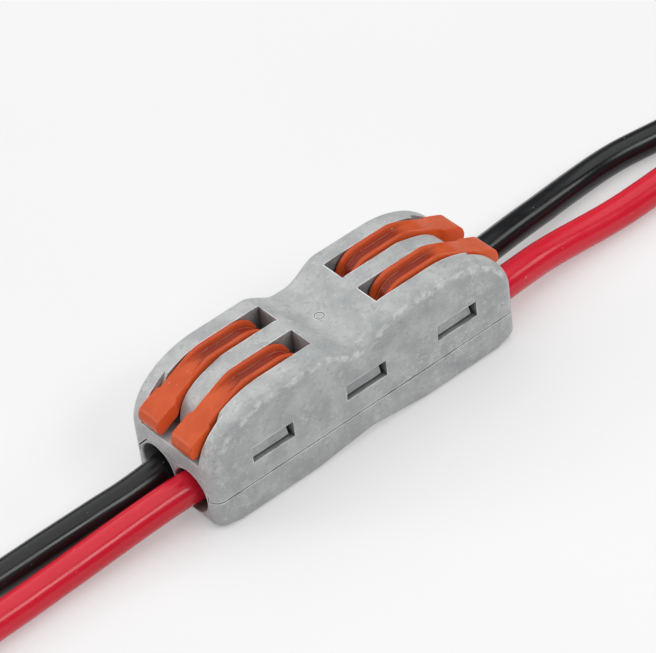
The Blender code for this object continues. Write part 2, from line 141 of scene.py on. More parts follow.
GROOVE_FADE = (12.2 * MM, 15.6 * MM)
GROOVE_FLARE = (13.0 * MM, 15.4 * MM)
GROOVE_RISE = (0.4 * MM, 2.2 * MM)   # heights above the pivot over which it starts
# Where the groove's painted shade fades out along the lever
GROOVE_SHADE_FADE = (11.5 * MM, 14.8 * MM)
UNDERSIDE_Z = 10.6 * MM          # ahead of the pivot, the outline below this has no groove
MOULD_LINE_Y = 0.4 * MM          # thin raised line along each side of the groove's floor
MOULD_LINE_HALF = 0.045 * MM
MOULD_LINE_HEIGHT = 0.08 * MM

# Cage clamp strip
STRIP = 0.35 * MM
SPRING_HALF = 1.75 * MM
CLAMP_HALF = 1.15 * MM
HINGE = (2.4 * MM, 6.2 * MM)
BEND_RADIUS = 0.9 * MM
LEG_END_X = 9.3 * MM
TONGUE_X = 11.0 * MM
TONGUE_LOW = 1.65 * MM
CLAMP_LOW = 2.2 * MM
CLAMP_HIGH = 6.25 * MM
CORNER_RADIUS = 0.6 * MM

# Wires
SLEEVE_RADII = {"1": 1.6 * MM, "2": 1.7 * MM}
CORE_RADIUS = 0.8 * MM
CORE_INNER_X = 7.0 * MM
SLEEVE_START_X = 15.7 * MM
STRIPPED = 7.0 * MM
STRAND_PITCH = 17.0 * MM
STRAND_SIDES = 8

# Route of each wire, as in the CAD: x, y, z in millimetres
ROUTES = {
    "a1": [(-15.7, 2.4, 3.15), (-17.5, 2.32, 3.04), (-19.4, 2.23, 2.9), (-21.5, 2.17, 2.7),
           (-24.0, 2.22, 2.5), (-27.0, 2.42, 2.34), (-30.0, 2.62, 2.13), (-33.0, 2.8, 1.94),
           (-36.0, 2.92, 1.77), (-39.0, 3.0, 1.67), (-43.0, 3.15, 1.63), (-48.0, 3.45, 1.63),
           (-54.0, 4.1, 1.63), (-60.0, 4.95, 1.63), (-66.0, 5.8, 1.63), (-72.0, 6.45, 1.63),
           (-78.0, 6.85, 1.63), (-86.0, 7.1, 1.63)],
    "a2": [(-15.7, -2.35, 3.3), (-17.5, -2.22, 3.3), (-19.4, -2.04, 3.27), (-21.5, -1.9, 3.17),
           (-24.0, -1.77, 2.96), (-27.0, -1.63, 2.66), (-30.0, -1.5, 2.33), (-33.0, -1.4, 2.04),
           (-36.0, -1.36, 1.84), (-39.0, -1.42, 1.75), (-43.0, -1.5, 1.73), (-48.0, -1.6, 1.73),
           (-54.0, -1.75, 1.73), (-60.0, -2.15, 1.73), (-66.0, -2.7, 1.73), (-72.0, -3.2, 1.73),
           (-78.0, -3.55, 1.73), (-86.0, -3.8, 1.73)],
    "b1": [(15.7, 2.5, 3.3), (17.5, 2.52, 3.3), (19.4, 2.58, 3.27), (21.5, 2.74, 3.16),
           (24.0, 3.1, 2.98), (27.0, 3.6, 2.7), (30.0, 4.08, 2.4), (33.0, 4.5, 2.1),
           (36.0, 4.93, 1.85), (39.0, 5.24, 1.68), (42.0, 5.38, 1.63), (45.0, 5.27, 1.63),
           (48.0, 4.87, 1.63), (51.0, 4.45, 1.63), (54.0, 4.1, 1.63), (59.0, 3.6, 1.63),
           (65.0, 3.3, 1.63), (72.0, 3.3, 1.63), (79.0, 3.5, 1.63), (86.0, 3.7, 1.63)],
    "b2": [(15.7, -2.5, 3.3), (17.5, -2.49, 3.3), (19.4, -2.43, 3.27), (21.5, -2.28, 3.17),
           (24.0, -1.97, 2.95), (27.0, -1.6, 2.64), (30.0, -1.45, 2.34), (33.0, -1.45, 2.06),
           (36.0, -1.52, 1.85), (39.0, -1.55, 1.75), (42.2, -1.48, 1.73), (47.0, -1.36, 1.73),
           (53.0, -1.5, 1.73), (59.0, -1.9, 1.73), (65.0, -2.15, 1.73), (72.0, -2.1, 1.73),
           (79.0, -1.9, 1.73), (86.0, -1.8, 1.73)],
}

POLES = {"1": POLE_Y, "2": -POLE_Y}
ENDS = {"a": -1.0, "b": 1.0}
TAGS = {end + pole: (ENDS[end], POLES[pole]) for pole in POLES for end in ENDS}

# Camera, fitted to the photograph's view
CAMERA_PLACE = (-0.15032, -0.21269, 0.23874)
CAMERA_AZIMUTH = -35.412         # degrees
CAMERA_ELEVATION = 41.299
CAMERA_ROLL = -7.762
CAMERA_LENS = 195.87

# Studio. Each light: name, place in metres, width and height in metres, power in watts
FLOOR_GLOW = 0.285               # the paper's own light, for the white ground
SKY_STRENGTH = 0.17
LIGHTS = [
    ("overhead", (-0.1, 0.25, 0.95), (2.0, 2.0), 16.0),
    ("front", (0.22, -0.6, 0.6), (0.5, 0.24), 2.2),
    ("side", (-0.64, 0.55, 0.32), (0.3, 0.3), 1.6),
    ("right", (0.68, -0.34, 0.45), (0.3, 0.2), 0.7),
]


# ---------------------------------------------------------------- shader helpers

def feed(tree, socket, value):
    """Link another node's socket into this one, or set this one's value."""
    if isinstance(value, bpy.types.NodeSocket):
        tree.links.new(value, socket)
    else:
        socket.default_value = value


def add_node(tree, kind, settings=None, **sockets):
    """Add a shader node. A socket name's spaces are written as underscores."""
    node = tree.nodes.new(kind)
    for name, value in (settings or {}).items():
        setattr(node, name, value)
    for name, value in sockets.items():
        feed(tree, node.inputs[name.replace("_", " ")], value)
    return node


def new_material(name, roughness=0.5, metallic=0.0, specular=0.5):
    material = bpy.data.materials.new(name)
    material.use_nodes = True
    shader = material.node_tree.nodes["Principled BSDF"]
    shader.inputs["Roughness"].default_value = roughness
    shader.inputs["Metallic"].default_value = metallic
    shader.inputs["Specular IOR Level"].default_value = specular
    return material, material.node_tree, shader


def grain(tree, scale, detail=3.0, stretch=(1.0, 1.0, 1.0), roughness=0.55):
    """Noise in the object's own metres: scale is in cycles per metre."""
    place = add_node(tree, "ShaderNodeTexCoord").outputs["Object"]
    mapped = add_node(tree, "ShaderNodeMapping", Vector=place, Scale=stretch)
    noise = add_node(tree, "ShaderNodeTexNoise", Vector=mapped.outputs["Vector"], Scale=scale,
                     Detail=detail, Roughness=roughness)
    return noise.outputs["Fac"]


def between(tree, value, low, high, to_low=0.0, to_high=1.0):
    """Map low..high onto to_low..to_high, clamped, with soft ends."""
    settings = {"interpolation_type": "SMOOTHSTEP"}
    node = add_node(tree, "ShaderNodeMapRange", settings, Value=value, From_Min=low,
                    From_Max=high, To_Min=to_low, To_Max=to_high)
    return node.outputs["Result"]


def arithmetic(tree, operation, *values):
    node = add_node(tree, "ShaderNodeMath", {"operation": operation})
    for socket, value in zip(node.inputs, values):
        feed(tree, socket, value)
    return node.outputs["Value"]


def multiply(tree, one, two):
    return arithmetic(tree, "MULTIPLY", one, two)


def blend_colour(tree, factor, one, two):
    """Mix two colours, each a tuple or a socket."""
    node = add_node(tree, "ShaderNodeMix", {"data_type": "RGBA"})
    feed(tree, node.inputs[0], factor)
    for socket, value in ((node.inputs[6], one), (node.inputs[7], two)):
        feed(tree, socket, (*value, 1.0) if isinstance(value, tuple) else value)
    return node.outputs[2]


def bump(tree, shader, layers):
    """Stack height layers given as (height socket, strength, depth in metres)."""
    normal = None
    for height, strength, depth in layers:
        node = add_node(tree, "ShaderNodeBump", Height=height, Strength=strength, Distance=depth)
        if normal:
            tree.links.new(normal, node.inputs["Normal"])
        normal = node.outputs["Normal"]
    tree.links.new(normal, shader.inputs["Normal"])


def paint_recess_shade(tree, colour, reach, deep, share, own_only=True):
    """Painted shade in seams and pockets: the colour, darker where it is enclosed."""
    settings = {"samples": 4, "only_local": own_only}
    node = add_node(tree, "ShaderNodeAmbientOcclusion", settings, Distance=reach)
    closed = between(tree, node.outputs["AO"], 0.6, 0.16, 0.0, share)
    return blend_colour(tree, closed, colour, deep)


def painted_edge_highlight(tree, width):
    """Where crisp outer edges get a painted highlight: 0 on flat faces, up to about 1 along the
    edge.
    """
    rounded = add_node(tree, "ShaderNodeBevel", {"samples": 4}, Radius=width).outputs["Normal"]
    true = add_node(tree, "ShaderNodeNewGeometry").outputs["Normal"]
    facing = tree.nodes.new("ShaderNodeVectorMath")
    facing.operation = "DOT_PRODUCT"
    tree.links.new(rounded, facing.inputs[0])
    tree.links.new(true, facing.inputs[1])
    bent = between(tree, facing.outputs["Value"], 0.997, 0.94)
    settings = {"samples": 4, "only_local": True}
    shut = add_node(tree, "ShaderNodeAmbientOcclusion", settings, Distance=0.8 * MM).outputs["AO"]
    outer = between(tree, shut, 0.72, 0.95)
    patchy = between(tree, grain(tree, 500, 3.0), 0.34, 0.58, 0.1, 0.85)
    return multiply(tree, multiply(tree, bent, outer), patchy)


def flow_marks(tree):
    """Short pale wandering streaks, in patches."""
    field = grain(tree, 210, 6.0, (1.0, 0.8, 1.0), 0.68)
    away = arithmetic(tree, "ABSOLUTE", arithmetic(tree, "SUBTRACT", field, 0.5))
    thin = between(tree, away, 0.014, 0.002)
    patches = between(tree, grain(tree, 120, 2.0), 0.5, 0.62, 0.0, 0.42)
    return multiply(tree, thin, patches)


def own_axis(tree, name, output):
    """One axis of the object's own position or normal."""
    source = add_node(tree, "ShaderNodeTexCoord").outputs[name]
    return add_node(tree, "ShaderNodeSeparateXYZ", Vector=source).outputs[output]


# ---------------------------------------------------------------- materials

def grey_nylon_material():
    """Mottled grey moulding with pale specks and flow marks, painted shade in its recesses and
    seams, and painted highlights along its shoulders and crisp outer edges.
    """
    material, tree, shader = new_material("grey_nylon", 0.46, specular=0.4)
    clouds = between(tree, grain(tree, 330, 4.0), 0.34, 0.68)
    colour = blend_colour(tree, clouds, (0.345, 0.357, 0.36), (0.455, 0.462, 0.46))
    blotches = between(tree, grain(tree, 900, 3.0, (1.0, 1.6, 1.0)), 0.52, 0.74, 0.0, 0.5)
    colour = blend_colour(tree, blotches, colour, (0.54, 0.55, 0.545))
    specks = between(tree, grain(tree, 2900, 3.0), 0.60, 0.72, 0.0, 0.42)
    colour = blend_colour(tree, specks, colour, (0.66, 0.67, 0.67))
    dark = between(tree, grain(tree, 1900, 2.0, (1.0, 1.0, 2.0)), 0.56, 0.70, 0.0, 0.48)
    colour = blend_colour(tree, dark, colour, (0.27, 0.275, 0.28))
    # Painted highlight along the rounded shoulder between the top and the flanks, broken into
    # patches
    side = arithmetic(tree, "ABSOLUTE", own_axis(tree, "Normal", "Y"))
    shoulder_highlight = multiply(tree, between(tree, side, 0.66, 0.84), between(tree, side, 0.995, 0.93))
    height = own_axis(tree, "Object", "Z")
    shoulder_highlight = multiply(tree, shoulder_highlight, between(tree, height, 6.5 * MM, 9.5 * MM))
    highlight_patches = between(tree, grain(tree, 950, 5.0, (0.7, 1.0, 1.0), 0.7), 0.42, 0.62, 0.0, 0.62)
    colour = blend_colour(tree, multiply(tree, shoulder_highlight, highlight_patches), colour, (0.70, 0.71, 0.705))
    colour = blend_colour(tree, flow_marks(tree), colour, (0.68, 0.69, 0.69))
    # Painted shade: darker in slots and pockets, and in narrow seams and gaps beside other parts
    colour = paint_recess_shade(tree, colour, 5.0 * MM, (0.02, 0.023, 0.025), 0.95)
    colour = paint_recess_shade(tree, colour, 0.45 * MM, (0.02, 0.023, 0.025), 0.9, False)
    # Painted highlight along crisp outer edges
    colour = blend_colour(tree, painted_edge_highlight(tree, 0.2 * MM), colour, (0.90, 0.91, 0.91))
    tree.links.new(colour, shader.inputs["Base Color"])
    gloss = between(tree, grain(tree, 1200, 3.0), 0.3, 0.7, 0.36, 0.54)
    tree.links.new(gloss, shader.inputs["Roughness"])
    bump(tree, shader, [(grain(tree, 260, 3.0), 0.35, 0.06 * MM),
                        (grain(tree, 1500, 3.0), 0.25, 0.02 * MM),
                        (grain(tree, 6000, 2.0), 0.2, 0.006 * MM)])
    return material


def orange_nylon_material():
    """Satin orange, with painted light on its sides and painted shade, redder and darker, down in
    the groove.
    """
    material, tree, shader = new_material("orange_nylon", 0.36, specular=0.22)
    shader.inputs["Subsurface Weight"].default_value = 0.35
    shader.inputs["Subsurface Radius"].default_value = (1.0, 0.25, 0.08)
    shader.inputs["Subsurface Scale"].default_value = 0.55 * MM
    clouds = between(tree, grain(tree, 420, 3.0), 0.35, 0.68)
    colour = blend_colour(tree, clouds, (0.54, 0.078, 0.019), (0.60, 0.098, 0.026))
    # Painted light: the sides facing along Y drawn brighter
    side = arithmetic(tree, "ABSOLUTE", own_axis(tree, "Normal", "Y"))
    flank = between(tree, side, 0.84, 0.99)
    colour = blend_colour(tree, flank, colour, (0.76, 0.115, 0.027))
    # Painted shade down in the groove, darkest on its floor
    groove_shade = add_node(tree, "ShaderNodeAttribute", {"attribute_name": "groove_shade"}).outputs["Fac"]
    colour = blend_colour(tree, groove_shade, colour, (0.23, 0.021, 0.005))
    line = add_node(tree, "ShaderNodeAttribute", {"attribute_name": "mould_line"}).outputs["Fac"]
    broken = between(tree, grain(tree, 700, 3.0), 0.36, 0.56, 0.1, 0.6)
    colour = blend_colour(tree, multiply(tree, line, broken), colour, (0.78, 0.36, 0.26))
    specks = between(tree, grain(tree, 2400, 2.0), 0.70, 0.76, 0.0, 0.5)
    colour = blend_colour(tree, specks, colour, (0.85, 0.42, 0.25))
    tree.links.new(colour, shader.inputs["Base Color"])
    gloss = between(tree, grain(tree, 1500, 3.0), 0.3, 0.7, 0.28, 0.44)
    tree.links.new(gloss, shader.inputs["Roughness"])
    bump(tree, shader, [(grain(tree, 300, 2.0), 0.3, 0.04 * MM),
                        (grain(tree, 2200, 3.0), 0.2, 0.01 * MM)])
    return material


def pvc_material(name, deep, pale, dust):
    """Glossy extruded sleeve with a faint draw along its length and a little dust."""
    material, tree, shader = new_material(name, 0.2, specular=0.36)
    clouds = between(tree, grain(tree, 160, 3.0, (0.3, 1.0, 1.0)), 0.35, 0.68)
    colour = blend_colour(tree, clouds, deep, pale)
    specks = between(tree, grain(tree, 2300, 2.0, (0.5, 1.0, 1.0)), 0.72, 0.78, 0.0, 0.4)
    colour = blend_colour(tree, specks, colour, dust)
    tree.links.new(colour, shader.inputs["Base Color"])
    gloss = between(tree, grain(tree, 900, 3.0, (0.25, 1.0, 1.0)), 0.3, 0.7, 0.14, 0.25)
    tree.links.new(gloss, shader.inputs["Roughness"])
    bump(tree, shader, [(grain(tree, 240, 3.0, (0.35, 1.0, 1.0)), 0.5, 0.08 * MM),
                        (grain(tree, 2500, 3.0, (0.25, 1.0, 1.0)), 0.25, 0.01 * MM)])
    return material


def metal_material(name, low, high, stretch, smooth, rough):
    """Drawn or rolled metal: fine lines along one axis in colour, gloss and height."""
    material, tree, shader = new_material(name, 0.3, metallic=1.0)
    lines = grain(tree, 2600, 4.0, stretch)
    colour = blend_colour(tree, between(tree, lines, 0.35, 0.65), low, high)
    tree.links.new(colour, shader.inputs["Base Color"])
    gloss = between(tree, grain(tree, 800, 3.0), 0.3, 0.7, smooth, rough)
    tree.links.new(gloss, shader.inputs["Roughness"])
    bump(tree, shader, [(lines, 0.15, 0.004 * MM)])
    return material


def paper_material():
    """Pale, even studio paper."""
    material, tree, shader = new_material("studio_paper", 0.9, specular=0.1)
    tone = between(tree, grain(tree, 9, 3.0), 0.3, 0.7)
    colour = blend_colour(tree, tone, (0.55, 0.55, 0.552), (0.57, 0.57, 0.57))
    tree.links.new(colour, shader.inputs["Base Color"])
    shader.inputs["Emission Color"].default_value = (1.0, 1.0, 1.0, 1.0)
    shader.inputs["Emission Strength"].default_value = FLOOR_GLOW
    return material


def make_materials():
    return {
        "grey_nylon": grey_nylon_material(),
        "orange_nylon": orange_nylon_material(),
        "black_pvc": pvc_material("black_pvc", (0.005, 0.006, 0.007), (0.010, 0.011, 0.012),
                                  (0.30, 0.30, 0.30)),
        "red_pvc": pvc_material("red_pvc", (0.56, 0.007, 0.022), (0.64, 0.011, 0.030),
                                (0.80, 0.40, 0.40)),
        "spring_steel": metal_material("spring_steel", (0.50, 0.51, 0.53), (0.66, 0.67, 0.69),
                                       (0.15, 1.0, 0.15), 0.2, 0.36),
        "tinned_copper": metal_material("tinned_copper", (0.64, 0.61, 0.56), (0.78, 0.76, 0.72),
                                        (0.15, 1.0, 1.0), 0.26, 0.45),
        "bare_copper": metal_material("bare_copper", (0.72, 0.34, 0.18), (0.86, 0.46, 0.28),
                                      (0.2, 1.0, 1.0), 0.22, 0.4),
    }


# ---------------------------------------------------------------- mesh helpers

def mesh_object(name, shape, material=None, smooth_angle=38):
    bmesh.ops.recalc_face_normals(shape, faces=shape.faces)
    mesh = bpy.data.meshes.new(name)
    shape.to_mesh(mesh)
    shape.free()
    item = bpy.data.objects.new(name, mesh)
    bpy.context.scene.collection.objects.link(item)
    if material:
        mesh.materials.append(material)
    mesh.shade_smooth()
    mesh.set_sharp_from_angle(angle=radians(smooth_angle))
    return item


def settle(item, smooth_angle=38):
    """Apply an object's modifiers and remove the cutters that they used."""
    cutters = [m.object for m in item.modifiers if m.type == "BOOLEAN"]
    graph = bpy.context.evaluated_depsgraph_get()
    mesh = bpy.data.meshes.new_from_object(item.evaluated_get(graph))
    item.modifiers.clear()
    item.data = mesh
    for cutter in cutters:
        bpy.data.objects.remove(cutter, do_unlink=True)
    mesh.shade_smooth()
    mesh.set_sharp_from_angle(angle=radians(smooth_angle))


def soften(item, width=CRISP, segments=2, angle=38):
    """Round an object's crisp edges."""
    modifier = item.modifiers.new("crisp edges", "BEVEL")
    modifier.width = width
    modifier.segments = segments
    modifier.limit_method = "ANGLE"
    modifier.angle_limit = radians(angle)
    modifier.harden_normals = True
    modifier.use_clamp_overlap = True


def prism(outline, low, high, axis):
    """Extrude a flat outline between two planes. Axis y takes (x, z), x (y, z), z (x, y)."""
    shape = bmesh.new()
    place = {"y": lambda a, b: (a, low, b), "x": lambda a, b: (low, a, b),
             "z": lambda a, b: (a, b, low)}[axis]
    ring = [shape.verts.new(place(a, b)) for a, b in outline]
    step = Vector([high - low if axis == letter else 0.0 for letter in "xyz"])
    face = shape.faces.new(ring)
    grown = bmesh.ops.extrude_face_region(shape, geom=[face])
    moved = [part for part in grown["geom"] if isinstance(part, bmesh.types.BMVert)]
    bmesh.ops.translate(shape, verts=moved, vec=step)
    return shape


def block(low, high):
    outline = [(low[0], low[2]), (high[0], low[2]), (high[0], high[2]), (low[0], high[2])]
    return prism(outline, low[1], high[1], "y")


def circle(centre, radius, sides):
    return [(centre[0] + radius * cos(2 * pi * k / sides),
             centre[1] + radius * sin(2 * pi * k / sides)) for k in range(sides)]


def turned(profile, centre, sides, side):
    """A closed solid turned about a line along x. The profile lists (x, radius) at the +X end."""
    shape = bmesh.new()
    rings = []
    for x, radius in profile:
        ring = [shape.verts.new((side * x, a, b)) for a, b in circle(centre, radius, sides)]
        rings.append(ring)
    for one, two in zip(rings, rings[1:]):
        for k in range(sides):
            shape.faces.new((one[k], one[(k + 1) % sides], two[(k + 1) % sides], two[k]))
    shape.faces.new(rings[0])
    shape.faces.new(rings[-1])
    return shape


def cut(target, shape, operation="DIFFERENCE"):
    cutter = mesh_object(target.name + ".cutter", shape)
    cutter.hide_render = True
    modifier = target.modifiers.new(operation.lower(), "BOOLEAN")
    modifier.operation = operation
    modifier.solver = "EXACT"
    modifier.object = cutter


def arc(centre, radius, start, stop, steps, radius_z=None):
    radius_z = radius if radius_z is None else radius_z
    angles = [radians(start + (stop - start) * k / steps) for k in range(steps + 1)]
    return [(centre[0] + radius * cos(a), centre[1] + radius_z * sin(a)) for a in angles]


def flow(points, per_span, closed=False):
    """A smooth curve through points of any dimension."""
    knots = [Vector(point) for point in points]
    if closed:
        knots = [knots[-1]] + knots + knots[:2]
    else:
        knots = [knots[0] * 2 - knots[1]] + knots + [knots[-1] * 2 - knots[-2]]
    curve = []
    for index in range(1, len(knots) - 2):
        before, start, stop, after = knots[index - 1:index + 3]
        for step in range(per_span):
            t = step / per_span
            curve.append(0.5 * (2 * start + (stop - before) * t
                                + (2 * before - 5 * start + 4 * stop - after) * t * t
                                + (3 * start - before - 3 * stop + after) * t * t * t))
    if not closed:
        curve.append(knots[-2])
    return curve


def outward(points, closed):
    """Unit normals of a flat curve that runs clockwise, pointing to its left."""
    count = len(points)
    normals = []
    for k in range(count):
        before = points[(k - 1) % count] if closed or k else points[k]
        after = points[(k + 1) % count] if closed or k < count - 1 else points[k]
        dx, dz = after[0] - before[0], after[1] - before[1]
        size = hypot(dx, dz)
        normals.append((-dz / size, dx / size))
    return normals


def smooth_ramp(value, low, high):
    t = min(max((value - low) / (high - low), 0.0), 1.0)
    return t * t * (3 - 2 * t)


# ---------------------------------------------------------------- housing and base

def saddle_height(x):
    return SADDLE_Z + (TOP_Z - SADDLE_Z) * smooth_ramp(x, SADDLE_FLAT, SADDLE_HALF)


def mirrored(half):
    """A whole outline from its +X half, listed from the middle outwards. It ends at +X."""
    return [(-x, z) for x, z in reversed(half) if x > 1e-9] + half


def rounded_slab(outline, radius_at):
    """Loft an open (x, z) outline across the width, rounding it off towards both flanks.

    radius_at gives the depth of the round at each point. The line between the outline's ends
    is the slab's flat, unrounded face.
    """
    normals = outward(outline, False)
    columns = []
    for step in range(ROUND_STEPS + 1):
        angle = pi / 2 * step / ROUND_STEPS
        columns.append((HALF_WIDTH - FLANK_RADIUS * (1 - sin(angle)), 1 - cos(angle)))
    columns = [(-y, share) for y, share in reversed(columns)] + columns
    shape = bmesh.new()
    grid = []
    for y, share in columns:
        row = []
        for (x, z), (nx, nz) in zip(outline, normals):
            inset = share * radius_at(x, z)
            row.append(shape.verts.new((x - nx * inset, y, z - nz * inset)))
        grid.append(row)
    for one, two in zip(grid, grid[1:]):
        for k in range(len(one) - 1):
            shape.faces.new((one[k], one[k + 1], two[k + 1], two[k]))
        shape.faces.new((one[-1], one[0], two[0], two[-1]))
    shape.faces.new(grid[0])
    shape.faces.new(grid[-1])
    return shape


def entry_outline(low, grow):
    side = BLOCK_HALF + grow
    shoulder = SHOULDER_HALF + grow / 2
    level = LINTEL_BOTTOM - SEAM + grow
    return [(-side, low), (side, low), (side, SHOULDER_Z), (shoulder, level),
            (-shoulder, level), (-side, SHOULDER_Z)]


def nose_outline(top):
    """The rounded front of the rib or of a cheek's inner layer, from the lintel upwards."""
    curve = [tuple(point * MM) for point in flow(RIB_FRONT + top, 4)]
    return curve + [(curve[-1][0], TOP_Z + CLEAR)]


def cut_lever_bays(housing, side):
    above = TOP_Z + CLEAR
    beyond = HALF_LENGTH + 2 * MM
    inner, outer = sorted((side * SLOT_INNER_X, side * beyond))
    for pole in POLES.values():
        cut(housing, block((inner, pole - SLOT_HALF, LINTEL_TOP),
                           (outer, pole + SLOT_HALF, above)))
        centre = (side * PIVOT[0], PIVOT[1])
        cut(housing, prism(circle(centre, POCKET_RADIUS, 40), pole - POCKET_REACH,
                           pole + POCKET_REACH, "y"))
        throat = POCKET_RADIUS - 0.05 * MM
        cut(housing, block((centre[0] - throat, pole - POCKET_REACH, BAY_TOP - CLEAR),
                           (centre[0] + throat, pole + POCKET_REACH, PIVOT[1])))
    close = [(beyond, above), (beyond, LINTEL_TOP)]
    rib = nose_outline(RIB_TOP) + close
    cut(housing, prism([(side * x, z) for x, z in rib], -POLE_Y, POLE_Y, "y"))
    wall = nose_outline(CHEEK_TOP) + close
    for flank in (-1, 1):
        low, high = sorted((flank * POLE_Y, flank * CHEEK_Y))
        cut(housing, prism([(side * x, z) for x, z in wall], low, high, "y"))


def cut_latch_window(housing, x, flank):
    low, high = sorted((flank * (ARM_INNER_Y - GAP), flank * (ARM_OUTER_Y + SEAM)))
    cut(housing, block((x - WINDOW_HALF, low, SPLIT_Z - CLEAR),
                       (x + WINDOW_HALF, high, WINDOW_HIGH)))
    low, high = sorted((flank * (ARM_OUTER_Y - 0.1 * MM), flank * (HALF_WIDTH + CLEAR)))
    inset = 0.01 * MM
    cut(housing, block((x - WINDOW_HALF + inset, low, WINDOW_LOW),
                       (x + WINDOW_HALF - inset, high, WINDOW_HIGH - inset)))


def cut_gate_mark(housing):
    """The small round scar of the mould's gate, in the saddle."""
    centre = (0.1 * MM, 0.1 * MM)
    ring = circle(centre, GATE_RADIUS, 36)
    cut(housing, prism(ring, SADDLE_Z - 0.07 * MM, TOP_Z, "z"))
    core = circle(centre, GATE_RADIUS - 0.12 * MM, 36)
    cut(housing, prism(core, SADDLE_Z - 0.3 * MM, SADDLE_Z - 0.01 * MM, "z"), "UNION")


def make_housing(material):
    half = [(SADDLE_HALF * k / 18, saddle_height(SADDLE_HALF * k / 18)) for k in range(19)]
    half += arc((HUMP_X, HUMP_Z), HALF_LENGTH - HUMP_X, 90, 0, 30, TOP_Z - HUMP_Z)
    half.append((HALF_LENGTH, SPLIT_Z))
    shape = rounded_slab(mirrored(half), lambda x, z: FLANK_RADIUS)
    housing = mesh_object("housing_shell", shape, material)
    below = SPLIT_Z - CLEAR
    for side in ENDS.values():
        cut_lever_bays(housing, side)
        low, high = sorted((side * (BLOCK_X - GAP), side * (HALF_LENGTH + CLEAR)))
        cut(housing, prism(entry_outline(below, SEAM), low, high, "x"))
    for pole in POLES.values():
        cut(housing, block((-BLOCK_X, pole - BAY_HALF, below),
                           (BLOCK_X, pole + BAY_HALF, BAY_TOP)))
    for flank in (-1, 1):
        for x in LATCH_XS:
            cut_latch_window(housing, x, flank)
    cut_gate_mark(housing)
    settle(housing)
    soften(housing)
    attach(housing, "root")
    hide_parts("housing")
    return housing


def base_round(x, z):
    """Full round at the ends, fading to a small one along the bottom edge."""
    return 0.3 * MM + (FLANK_RADIUS - 0.3 * MM) * smooth_ramp(abs(x), HALF_LENGTH - 2.6 * MM,
                                                              HALF_LENGTH - 0.6 * MM)


def make_base(material):
    top = SPLIT_Z - SEAM
    half = [(NOTCH_HALF * k / 8, NOTCH_DEPTH * (1 - k / 8)) for k in range(9)]
    half += [(x * MM, 0.0) for x in (9.0, 12.0, 15.0, 16.6)]
    half += arc((HALF_LENGTH - FOOT_RADIUS, FOOT_RADIUS), FOOT_RADIUS, -90, 0, 12)
    half.append((HALF_LENGTH, top))
    outline = list(reversed(mirrored(half)))
    shape = rounded_slab(outline, base_round)
    base = mesh_object("base_shell", shape, material)
    for pole in POLES.values():
        cut(base, block((-BLOCK_X, pole - BAY_HALF, FLOOR_Z), (BLOCK_X, pole + BAY_HALF, 5 * MM)))
    for side in ENDS.values():
        add_entry_block(base, side)
    for flank in (-1, 1):
        for x in LATCH_XS:
            add_latch(base, x, flank)
    settle(base)
    soften(base)
    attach(base, "root")
    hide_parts("base_cover")
    return base


def add_entry_block(base, side):
    low, high = sorted((side * BLOCK_X, side * HALF_LENGTH))
    cut(base, prism(entry_outline(SPLIT_Z - SEAM - 0.5 * MM, 0.0), low, high, "x"), "UNION")
    lip = arc((HALF_LENGTH - PORT_LIP, PORT_RADIUS + PORT_LIP), PORT_LIP, 270, 360, 4)
    for pole in POLES.values():
        profile = [(BLOCK_X - CLEAR, THROAT_RADIUS), (FUNNEL_X, THROAT_RADIUS),
                   (PORT_STOP_X, PORT_RADIUS - GAP), (PORT_STOP_X + 0.05 * MM, PORT_RADIUS)]
        profile += lip + [(HALF_LENGTH + CLEAR, PORT_RADIUS + PORT_LIP)]
        cut(base, turned(profile, (pole, PORT_Z), 56, side))
        low, high = sorted(side * x for x in PIT_X)
        reach = BAY_HALF - 0.1 * MM
        cut(base, block((low, pole - reach, PIT_FLOOR_Z), (high, pole + reach, FLOOR_Z + CLEAR)))


def add_latch(base, x, flank):
    half = WINDOW_HALF - ARM_GAP
    foot = SPLIT_Z - SEAM - 0.5 * MM
    tip = WINDOW_HIGH - GAP
    outline = [(ARM_INNER_Y, foot), (ARM_OUTER_Y, foot), (ARM_OUTER_Y, WINDOW_LOW + SEAM),
               (HOOK_Y, WINDOW_LOW + SEAM), (HOOK_Y, WINDOW_LOW + 2 * SEAM),
               (ARM_OUTER_Y, tip), (ARM_INNER_Y, tip)]
    arm = prism([(flank * y, z) for y, z in outline], x - half, x + half, "x")
    cut(base, arm, "UNION")


# ---------------------------------------------------------------- levers

def cam_radius(angle):
    """Distance from the pivot to the closed lever's rear and cam, at an angle in degrees."""
    start, stop = CAM_TURN
    if angle <= start:
        return CROWN_RADIUS + (REAR_RADIUS - CROWN_RADIUS) * smooth_ramp(angle, *CROWN_TURN)
    fall = (stop - angle) / (stop - start)
    return CAM_RADIUS + (REAR_RADIUS - CAM_RADIUS) * fall * fall


def lever_outline():
    """Side view of a closed lever at the +X end, anticlockwise from the top of its rear."""
    points = []
    for angle in range(100, 281, 10):
        reach = cam_radius(min(angle, CAM_TURN[1]))
        points.append((PIVOT[0] + reach * cos(radians(angle)),
                       PIVOT[1] + reach * sin(radians(angle))))
    rest = [(10.4, 8.3), (12.0, 9.5), (13.6, 10.15), (15.2, 10.05), (17.2, 9.25), (18.6, 8.55),
            (19.15, 8.3), (19.5, 8.36), (19.68, 8.65), (19.74, 9.1), (19.62, 9.6), (19.42, 9.92),
            (19.1, 10.14), (18.4, 10.48), (17.2, 11.04), (16.1, 11.6), (14.9, 12.24),
            (13.6, 12.86), (12.8, 13.18), (12.2, 13.34), (11.4, 13.38), (9.8, 13.37), (8.4, 13.38)]
    return points + [(x * MM, z * MM) for x, z in rest]


